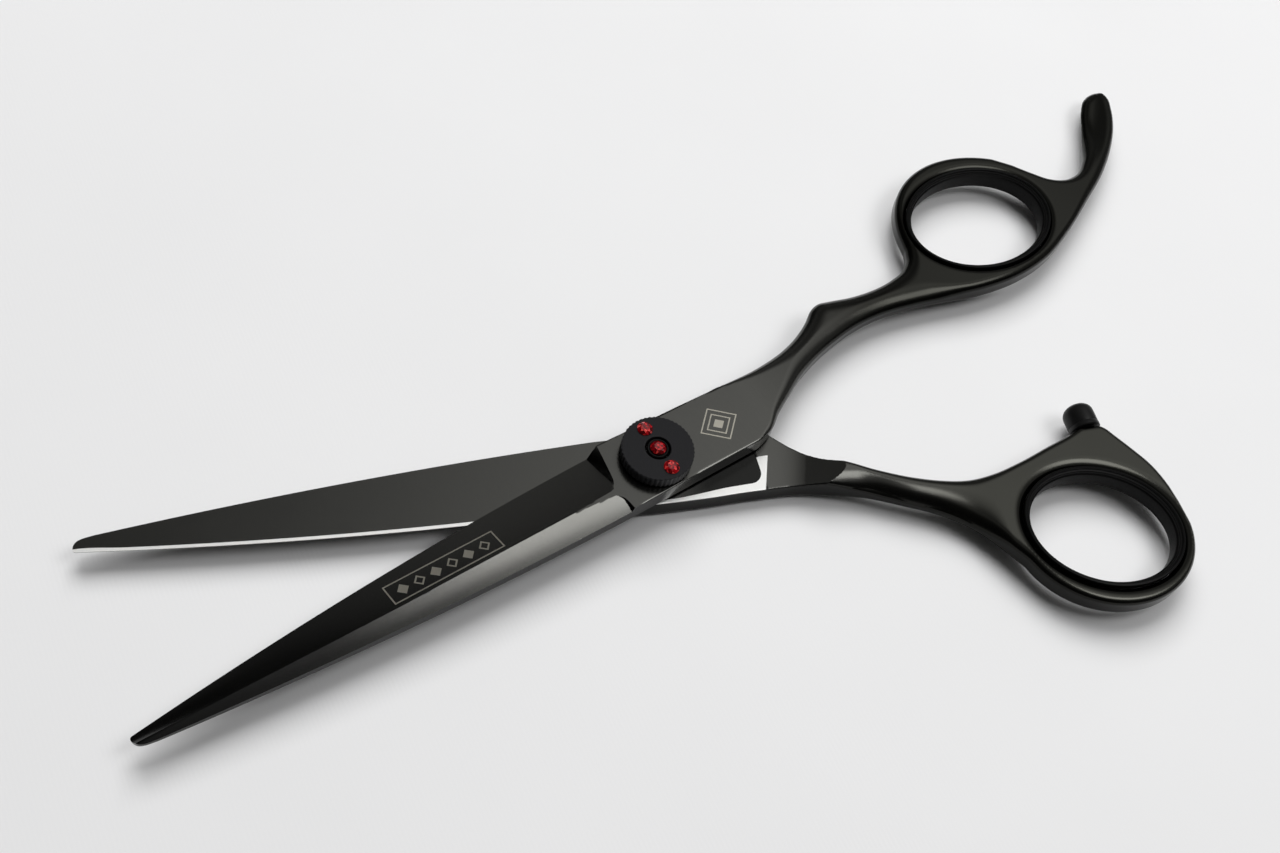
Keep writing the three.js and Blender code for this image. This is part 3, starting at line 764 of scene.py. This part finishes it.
def frame_mask(g, x, y, box, line):
    """A rectangular outline, as a mask."""
    x0, x1, y0, y1 = box
    across = g.math("SUBTRACT", (x1 - x0) / 2, g.math("ABSOLUTE", g.math("SUBTRACT", x, (x0 + x1) / 2)))
    upward = g.math("SUBTRACT", (y1 - y0) / 2, g.math("ABSOLUTE", g.math("SUBTRACT", y, (y0 + y1) / 2)))
    depth = g.math("MINIMUM", across, upward)
    return g.math("MULTIPLY", step(g, depth), step(g, g.math("SUBTRACT", line, depth)))


def rhombus_depth(g, x, y, cx, cy, a, b):
    """Depth inside a rhombus with half diagonals a and b."""
    u = g.math("DIVIDE", g.math("ABSOLUTE", g.math("SUBTRACT", x, cx)), a)
    v = g.math("DIVIDE", g.math("ABSOLUTE", g.math("SUBTRACT", y, cy)), b)
    return g.math("MULTIPLY", g.math("SUBTRACT", 1.0, g.math("ADD", u, v)), min(a, b))


def line_mask(g, depth, line):
    return g.math("MULTIPLY", step(g, depth), step(g, g.math("SUBTRACT", line, depth)))


def etched_marks(g, x, y, w):
    """Generic ornament: a framed row of lozenges on the blade, nested lozenges on the ricasso."""
    marks = frame_mask(g, x, y, (-41.3, -25.0, -1.35, 2.05), 0.2)
    for i in range(6):
        depth = rhombus_depth(g, x, y, -39.2 + 2.42 * i, 0.35, 0.85, 0.95)
        marks = g.math("MAXIMUM", marks, line_mask(g, depth, 0.3) if i % 2 else step(g, depth))
    for a, b in ((3.2, 2.9), (2.1, 1.9)):
        depth = rhombus_depth(g, x, y, 10.8, -0.1, a, b)
        marks = g.math("MAXIMUM", marks, line_mask(g, depth, 0.24))
    marks = g.math("MAXIMUM", marks, step(g, rhombus_depth(g, x, y, 10.8, -0.1, 0.95, 0.85)))
    return g.math("MULTIPLY", marks, step(g, g.math("SUBTRACT", w, 0.5)))


def coated_steel(name, marked, handle_shade_tone):
    """Black titanium coating over ground steel, bright where the halves ride on each other. Painted shade
    darkens the handles, the steep faces, the pocket inside the thumb half's half-moon and the finger blade
    towards its tip.
    """
    g = Graph(name)
    local = g.local()
    x, y, w = g.split(local)[0:3]
    cloud = g.noise(local, 0.16, 3.0)
    grain = g.noise(g.stretched(local, 7.0, 0.6, 1.5), 1.0, 4.0, 0.6)
    fine = g.noise(g.stretched(local, 28.0, 1.6, 5.0), 1.0, 3.0, 0.6)
    coat = g.mix(cloud, (0.112, 0.112, 0.106, 1), (0.122, 0.121, 0.112, 1))
    coat = g.mix(g.ranged(grain, 0.35, 0.75, 0.0, 0.25), coat, (0.09, 0.09, 0.088, 1))
    # painted shade: from x 18 to 44 the coat fades into the handle's darker tone, in place of the darker
    # reflections on the handles
    coat = g.mix(g.ranged(x, 18.0, 44.0, 0.0, 1.0), coat, (handle_shade_tone, handle_shade_tone, handle_shade_tone * 0.88, 1))
    # painted shade: steep faces get a near-black coat, for their dark reflection of the shaded floor in
    # front of them
    wall = g.node("ShaderNodeAttribute", attribute_name="wall").outputs["Fac"]
    coat = g.mix(wall, coat, (0.014, 0.014, 0.013, 1))
    rough = g.math("ADD", g.ranged(cloud, 0.3, 0.7, 0.20, 0.23), g.ranged(fine, 0.3, 0.7, -0.015, 0.02))
    bare = g.node("ShaderNodeAttribute", attribute_name="bare").outputs["Fac"]
    bare = g.math("MULTIPLY", step(g, bare, 0.03), step(g, g.math("SUBTRACT", 0.22, w)))
    steel = g.mix(grain, (0.86, 0.86, 0.84, 1), (0.96, 0.96, 0.94, 1))
    if marked:
        # painted shade: the finger blade's coat darkens from x -24 to -56, towards the tip
        coat = g.mix(g.ranged(x, -56.0, -24.0, 1.0, 0.0), coat, (0.042, 0.042, 0.041, 1))
        marks = etched_marks(g, x, y, w)
        silver = g.mix(fine, (0.66, 0.63, 0.54, 1), (0.80, 0.77, 0.68, 1))
        coat = g.mix(marks, coat, silver)
        rough = g.math("ADD", rough, g.math("MULTIPLY", marks, 0.30))
    else:
        # painted shade: the inner face inside the half-moon, from x 3 to 15.4, is darkened where the finger
        # half hangs over it
        behind = step(g, g.math("SUBTRACT", x, 3.0), 4.0)
        before = step(g, g.math("SUBTRACT", 15.4, x))
        inner = step(g, g.math("SUBTRACT", 0.5, w))
        pocket = g.math("MULTIPLY", g.math("MULTIPLY", behind, before), inner)
        coat = g.mix(pocket, coat, (0.028, 0.028, 0.027, 1))
    colour = g.mix(bare, coat, steel)
    rough = g.ranged(bare, 0.0, 1.0, rough, 0.30)
    height = g.math("ADD", grain, g.math("MULTIPLY", fine, 0.4))
    normal = g.bump(height, 0.22, 0.000012)
    metal = g.ranged(bare, 0.0, 1.0, 1.0, 0.45)
    return g.finish(Base_Color=colour, Metallic=metal, Roughness=rough, Normal=normal)


def rubber(name, tone, gloss):
    """Moulded rubber: matt, faintly mottled, with a fine skin."""
    g = Graph(name)
    local = g.local()
    mottle = g.noise(local, 0.9, 4.0)
    skin = g.noise(local, 14.0, 3.0)
    colour = g.mix(mottle, (tone, tone, tone, 1), (tone * 1.7, tone * 1.7, tone * 1.65, 1))
    rough = g.ranged(skin, 0.3, 0.7, 0.34, 0.46)
    normal = g.bump(skin, 0.3, 0.00003)
    return g.finish(Base_Color=colour, Roughness=rough, Normal=normal, Specular_IOR_Level=gloss)


def dial_finish():
    """Matt black anodised alloy with a faint turned grain."""
    g = Graph("dial_black")
    local = g.local()
    x, y = g.split(local)[0:2]
    radius = g.math("SQRT", g.math("ADD", g.math("MULTIPLY", x, x), g.math("MULTIPLY", y, y)))
    rings = g.noise(g.node("ShaderNodeCombineXYZ", {0: radius}).outputs[0], 9.0, 3.0)
    blast = g.noise(local, 11.0, 3.0, 0.6)
    tone = g.mix(g.math("MULTIPLY", rings, blast), (0.009, 0.009, 0.010, 1), (0.022, 0.022, 0.024, 1))
    rough = g.ranged(blast, 0.3, 0.7, 0.44, 0.58)
    normal = g.bump(g.math("ADD", blast, g.math("MULTIPLY", rings, 0.5)), 0.35, 0.00003)
    return g.finish(Base_Color=tone, Metallic=0.0, Roughness=rough, Normal=normal, Specular_IOR_Level=0.2)


def stone_finish():
    """Red cut stone over foil: each facet gets its own painted reflection, from dark red to a bright painted
    glint.
    """
    g = Graph("red_stone")
    tone = g.node("ShaderNodeAttribute", attribute_name="facet").outputs["Fac"]
    cloud = g.noise(g.local(), 2.5, 2.0)
    share = g.math("ADD", tone, g.ranged(cloud, 0.3, 0.7, -0.08, 0.08))
    ramp = g.node("ShaderNodeValToRGB", {"Fac": share})
    # painted reflections: facet tones from dark red to bright red, the top stop a painted glint
    stops = [(0.0, (0.05, 0.0, 0.002, 1)), (0.5, (0.22, 0.001, 0.004, 1)), (0.85, (0.60, 0.006, 0.012, 1)),
             (1.0, (0.95, 0.10, 0.08, 1))]
    ramp.color_ramp.elements[0].position, ramp.color_ramp.elements[0].color = stops[0]
    ramp.color_ramp.elements[1].position, ramp.color_ramp.elements[1].color = stops[-1]
    for place, colour in stops[1:-1]:
        ramp.color_ramp.elements.new(place).color = colour
    colour = ramp.outputs["Color"]
    return g.finish(Base_Color=colour, Metallic=0.25, Roughness=0.15, Coat_Weight=0.5, Coat_Roughness=0.03,
                    IOR=1.5)


def spring_steel(name, low, high):
    """Bright steel with a drawn grain."""
    g = Graph(name)
    place = g.node("ShaderNodeTexCoord").outputs["Object"]
    grain = g.noise(g.stretched(place, 400.0, 400.0, 9000.0), 1.0, 4.0)
    colour = g.mix(grain, (low, low, low * 0.98, 1), (high, high, high * 0.98, 1))
    rough = g.ranged(grain, 0.3, 0.7, 0.22, 0.36)
    return g.finish(Base_Color=colour, Metallic=1.0, Roughness=rough, Normal=g.bump(grain, 0.2, 0.00001))


def nylon():
    """Turned nylon, off-white, slightly waxy."""
    g = Graph("nylon")
    place = g.node("ShaderNodeTexCoord").outputs["Object"]
    cloud = g.noise(place, 900.0, 3.0)
    colour = g.mix(cloud, (0.78, 0.76, 0.70, 1), (0.86, 0.85, 0.80, 1))
    return g.finish(Base_Color=colour, Roughness=g.ranged(cloud, 0.3, 0.7, 0.38, 0.5),
                    Normal=g.bump(cloud, 0.2, 0.00002))


def floor_finish():
    """White photographic cloth with a barely visible weave."""
    g = Graph("pale_floor")
    place = g.node("ShaderNodeTexCoord").outputs["Object"]
    across = g.node("ShaderNodeTexWave", {"Vector": place, "Scale": 520.0, "Distortion": 0.8}).outputs["Fac"]
    cloud = g.noise(place, 22.0, 3.0)
    colour = g.mix(cloud, (0.80, 0.80, 0.805, 1), (0.84, 0.84, 0.845, 1))
    height = g.math("ADD", across, g.math("MULTIPLY", cloud, 0.6))
    return g.finish(Base_Color=colour, Roughness=0.9, Normal=g.bump(height, 0.04, 0.0001),
                    Specular_IOR_Level=0.15)


# ================================================================== pieces
def add_halves():
    solid, half = make_finger_solid()
    # the last number is each handle's tone of painted shade, darker on the finger half than on the thumb
    # half
    steel = coated_steel("coated_finger_half", True, 0.034)
    add_half("finger_half_steel", "finger_half", solid, half, half_axes(-77.3, 114.6, -12.4, 20.2),
             PLACE_FINGER, "finger_side", steel)
    solid, half = make_thumb_solid()
    steel = coated_steel("coated_thumb_half", False, 0.058)
    add_half("thumb_half_steel", "thumb_half", solid, half, half_axes(-77.3, 76.2, -12.4, 30.0),
             PLACE_THUMB, "thumb_side", steel)


def insert_profile(upper_reach, lower_reach):
    """Lipped rubber lining, as (offset from the metal hole's wall, w) all the way round."""
    side = [
        (-0.12, 0.0), (-0.12, 0.53), (0.02, 0.75), (0.02, 0.9), (-0.06, 0.97), (-0.3, 1.0),
        (-0.42, 0.97), (-0.46, 0.86), (-0.72, 0.83), (-0.8, 0.79), (-0.84, 0.65), (-1.05, 0.58),
        (-1.12, 0.42), (-1.15, 0.0),
    ]
    upper = [(offset, share * upper_reach) for offset, share in side]
    lower = [(offset, -share * lower_reach) for offset, share in side[-2:0:-1]]
    return upper + lower


def add_inserts():
    finish = rubber("insert_rubber", 0.0022, 0.10)
    for name, node, ring, place, body, upper, lower in (
        ("finger_ring_lining", "finger_ring_insert", FINGER_RING, PLACE_FINGER, "finger_side", 2.16, 1.86),
        ("thumb_ring_lining", "thumb_ring_insert", THUMB_RING, PLACE_THUMB, "thumb_side", 1.76, 2.16),
    ):
        verts, faces = swept_oval(ring, insert_profile(upper, lower))
        crease(add_piece(name, verts, faces, place, body, finish, [node]), 28)


def add_bumper():
    """The rubber closing stop: a domed plug with a moulded rim round its seat."""
    crown = 1.5
    side = BUMPER_R - 0.04
    bore_r = STUD_R + 0.25
    bore_top = 3.0
    profile = [
        (bore_r, 0.08), (BUMPER_R - 0.12, 0.08), (BUMPER_R, 0.22), (BUMPER_R, 0.75), (BUMPER_R - 0.1, 0.9),
        (side, 1.05),
    ]
    for angle in np.radians(np.linspace(0, 90, 9)):
        profile.append((side - crown * (1 - math.cos(angle)), BUMPER_L - crown + crown * math.sin(angle)))
    profile += [(0.0, BUMPER_L), (0.0, bore_top), (bore_r, bore_top), (bore_r, 0.08)]
    verts, faces = turned(profile, 64)
    stand = Matrix.Translation((BUMPER_X, BUMPER_SEAT_Y, 0)) @ Matrix.Rotation(math.pi / 2, 4, "X")
    piece = add_piece("closing_stop", verts, faces, PLACE_THUMB @ stand, "thumb_side",
                      rubber("stop_rubber", 0.0045, 0.2), ["rubber_bumper"])
    crease(piece, 40)


def stone_centre(node):
    """Where a stone stands, from the CAD, in millimetres."""
    low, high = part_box(node)
    return (low.x + high.x) / 2 / MM, (low.y + high.y) / 2 / MM


def stone_radius(node):
    low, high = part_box(node)
    spread = CENTRE_STONE_SPREAD if node == "centre_crystal" else 0.0
    return (high.x - low.x) / 2 / MM + spread


def dial_solid(x, y, z):
    """Coin-edged dial with its bore, skirt and stone seats."""
    radius = np.hypot(x, y)
    flutes = 0.04 * (1 + np.cos(DIAL_FLUTES * np.arctan2(y, x)))
    rim = radius - (DIAL_R + 0.08 - flutes)
    solid = round_meet(rim, z - DIAL_TOP, 0.16)
    solid = np.maximum(solid, DIAL_LOW - z)
    skirt = np.maximum(radius - (DIAL_R - DIAL_WALL), z - (DIAL_TOP - DIAL_ROOF))
    solid = np.maximum(solid, -skirt)
    bore_wall = DIAL_BORE_R - radius
    solid = np.maximum(solid, round_meet(bore_wall, z - DIAL_TOP, 0.1))
    seat = stone_radius("far_crystal") + 0.12
    for cx, cy in (stone_centre("far_crystal"), stone_centre("near_crystal")):
        hole = round_meet(seat - np.hypot(x - cx, y - cy), z - DIAL_TOP, 0.1)
        solid = np.maximum(solid, np.minimum(hole, DIAL_TOP - STONE_POCKET - z))
    return solid


def add_dial():
    reach = DIAL_R + 0.3
    axes = grid_axes((-reach, -reach, DIAL_LOW - 0.2), (reach, reach, DIAL_TOP + 0.2), DIAL_PITCH)
    verts, faces, normals = contour(dial_solid, axes)
    add_piece("coin_edge_dial", verts, faces, PLACE_PIVOT, "dial", dial_finish(),
              ["tension_dial"], normals)


def add_lock_screw():
    """Flush screw whose raised bezel holds the middle stone."""
    seat = stone_radius("centre_crystal") + 0.1
    profile = [
        (0, -3.0), (SCREW_STEM_R, -3.0), (SCREW_STEM_R, -SCREW_HEAD_T), (SCREW_HEAD_R, -SCREW_HEAD_T),
        (SCREW_HEAD_R, -0.1), (SCREW_HEAD_R - 0.1, 0.0), (seat + 0.08, 0.0), (seat, -0.06), (seat, -0.35),
        (0, -0.35),
    ]
    verts, faces = turned([(r, DIAL_TOP + z) for r, z in profile], 72)
    piece = add_piece("lock_screw_bezel", verts, faces, PLACE_PIVOT, "dial",
                      rubber("screw_black", 0.002, 0.2), ["dial_lock_screw"])
    crease(piece, 30)


def cut_stone(radius, base, height, rng):
    """A brilliant: table, star and kite facets over a pavilion, with a painted reflection tone for each
    facet.
    """
    girdle = base + 0.42 * height
    mid = base + 0.78 * height
    top = base + height
    sides = 8
    belt_sides = 2 * sides
    verts = [(0, 0, base)]

    def ring(r, z, count, shift):
        first = len(verts)
        for i in range(count):
            angle = 2 * math.pi * (i + shift) / count
            verts.append((r * math.cos(angle), r * math.sin(angle), z))
        return [first + i for i in range(count)]

    bottom = ring(radius * 0.7, base, belt_sides, 0.0)
    belt = ring(radius, girdle, belt_sides, 0.0)
    kite = ring(radius * 0.80, mid, sides, 0.5)
    table = ring(radius * 0.56, top, sides, 0.0)
    star = ring(radius * 0.30, top - 0.01, sides, 0.5)
    centre = len(verts)
    verts.append((0, 0, top - 0.01))
    faces = [[0, bottom[(i + 1) % belt_sides], bottom[i]] for i in range(belt_sides)]
    for i in range(belt_sides):
        j = (i + 1) % belt_sides
        faces.append([bottom[i], bottom[j], belt[j], belt[i]])
    for i in range(sides):
        j = (i + 1) % sides
        low, middle, high = belt[2 * i], belt[2 * i + 1], belt[(2 * i + 2) % belt_sides]
        faces.append([low, middle, kite[i]])
        faces.append([middle, high, kite[i]])
        faces.append([low, kite[i], table[i]])
        faces.append([high, table[j], kite[i]])
        faces.append([table[i], kite[i], table[j]])
        faces.append([table[i], table[j], star[i]])
        faces.append([table[j], star[j], star[i]])
        faces.append([star[i], star[j], centre])
    # painted reflections: a random brightness for each facet
    facet_reflection_tones = rng.uniform(0.05, 1.0, len(faces)) ** 1.3
    return verts, faces, facet_reflection_tones


def add_stones():
    rng = np.random.default_rng(7)
    finish = stone_finish()
    for name, node in (("far_stone", "far_crystal"), ("near_stone", "near_crystal"),
                       ("centre_stone", "centre_crystal")):
        verts, faces, facet_reflection_tones = cut_stone(stone_radius(node), 0.0, 0.75, rng)
        sunk = 0.76 if node == "centre_crystal" else 0.72
        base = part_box(node)[1].z / MM - sunk
        place = PLACE_PIVOT @ Matrix.Translation((*stone_centre(node), base))
        piece = add_piece(name, verts, faces, place, "dial", finish, [node])
        piece.data.polygons.foreach_set("use_smooth", [False] * len(piece.data.polygons))
        # each facet's painted reflection tone
        facet = piece.data.attributes.new("facet", "FLOAT", "FACE")
        facet.data.foreach_set("value", facet_reflection_tones.astype(np.float32))


def dress_carried_nodes():
    """Procedural finishes for the CAD nodes that stay as they are."""
    steel = spring_steel("spring_steel", 0.50, 0.66)
    dark = spring_steel("coated_fastener", 0.13, 0.18)
    wax = nylon()
    finishes = {
        "bumper_stud": steel, "spring_washer": steel, "click_plate": steel,
        "pivot_bolt": dark, "ride_washer": wax, "pivot_bushing": wax,
    }
    for node, material in finishes.items():
        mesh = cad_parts[node].data
        mesh.materials.clear()
        mesh.materials.append(material)


# ================================================================== camera, floor and light
def camera_frame():
    """Where the camera stands and how it is turned, in the part frame."""
    target = Vector((-3.197, 8.133, 0)) * MM
    distance = 221.85 * MM
    elevation = math.radians(56.454)
    roll = math.radians(16.628)
    heading = Matrix.Rotation(math.radians(-38.70), 3, "Z")
    back = Vector((0, -math.cos(elevation), math.sin(elevation)))
    right = Vector((1, 0, 0))
    up = back.cross(right)
    rolled_right = right * math.cos(roll) + up * math.sin(roll)
    rolled_up = up * math.cos(roll) - right * math.sin(roll)
    axes = Matrix((heading @ rolled_right, heading @ rolled_up, heading @ back)).transposed()
    return heading @ (target + back * distance), axes


def add_camera():
    data = bpy.data.cameras.new("camera")
    data.lens = 43.61
    data.sensor_width = 36.0
    data.clip_start = 0.01
    data.clip_end = 20.0
    camera = bpy.data.objects.new("camera", data)
    bpy.context.scene.collection.objects.link(camera)
    place, axes = camera_frame()
    camera.matrix_world = Matrix.Translation(place) @ axes.to_4x4()
    bpy.context.scene.camera = camera


def add_floor():
    mesh = bpy.data.meshes.new("floor")
    half = 1.5
    corners = [(-half, -half, 0), (half, -half, 0), (half, half, 0), (-half, half, 0)]
    mesh.from_pydata(corners, [], [[0, 1, 2, 3]])
    mesh.materials.append(floor_finish())
    floor = bpy.data.objects.new("floor", mesh)
    floor.location.z = -0.00002
    bpy.context.scene.collection.objects.link(floor)


def add_softbox(name, direction, distance, size, radiance, mirrored=True):
    """A soft light of the given brightness that faces the object with its width along X.

    A light that isn't mirrored lights the scene but isn't seen in the polished faces.
    """
    data = bpy.data.lights.new(name, "AREA")
    data.shape = "RECTANGLE"
    data.size, data.size_y = size
    data.energy = radiance * math.pi * size[0] * size[1]
    lamp = bpy.data.objects.new(name, data)
    away = Vector(direction).normalized()
    lamp.location = away * distance
    across = (Vector((1, 0, 0)) - away * away.x).normalized()
    lamp.rotation_euler = Matrix((across, away.cross(across), away)).transposed().to_euler()
    lamp.visible_glossy = mirrored
    bpy.context.scene.collection.objects.link(lamp)


def add_world():
    """A dark studio with a broad glow above the back right, which the coated faces reflect.

    The camera itself sees an even grey behind the floor.
    """
    world = bpy.data.worlds.new("studio")
    bpy.context.scene.world = world
    world.use_nodes = True
    tree = world.node_tree
    background = tree.nodes["Background"]
    place = tree.nodes.new("ShaderNodeTexCoord")
    toward = tree.nodes.new("ShaderNodeVectorMath")
    toward.operation = "DOT_PRODUCT"
    toward.inputs[1].default_value = Vector((0.50, 0.22, 0.84)).normalized()
    tree.links.new(place.outputs["Generated"], toward.inputs[0])
    ramp = tree.nodes.new("ShaderNodeValToRGB")
    stops = ramp.color_ramp.elements
    stops[0].color = (0.02, 0.02, 0.02, 1)
    stops[1].color = (1.15, 1.15, 1.14, 1)
    glow = (
        (0.50, 0.04), (0.62, 0.16), (0.70, 0.22), (0.79, 0.11), (0.85, 0.14), (0.90, 0.25), (0.933, 0.46),
        (0.96, 0.68), (0.985, 0.78),
    )
    for share, light in glow:
        stops.new(share).color = (light, light, light * 0.99, 1)
    tree.links.new(toward.outputs["Value"], ramp.inputs["Fac"])
    seen = tree.nodes.new("ShaderNodeLightPath")
    backdrop = tree.nodes.new("ShaderNodeMix")
    backdrop.data_type = "RGBA"
    tree.links.new(seen.outputs["Is Camera Ray"], backdrop.inputs[0])
    tree.links.new(ramp.outputs["Color"], backdrop.inputs[6])
    backdrop.inputs[7].default_value = (0.34, 0.34, 0.34, 1)
    tree.links.new(backdrop.outputs[2], background.inputs["Color"])
    background.inputs["Strength"].default_value = 1.0


def add_studio():
    add_camera()
    add_floor()
    add_world()
    add_softbox("side_softbox", (0.43, -0.27, 0.86), 0.6, (0.32, 0.24), 3.6)
    add_softbox("back_light", (0.20, 0.52, 0.83), 1.1, (0.8, 0.8), 5.3, mirrored=False)
    bpy.context.scene.view_settings.view_transform = "Standard"


# ================================================================== assembly
add_studio()
add_halves()
add_inserts()
add_bumper()
add_dial()
add_lock_screw()
add_stones()
dress_carried_nodes()
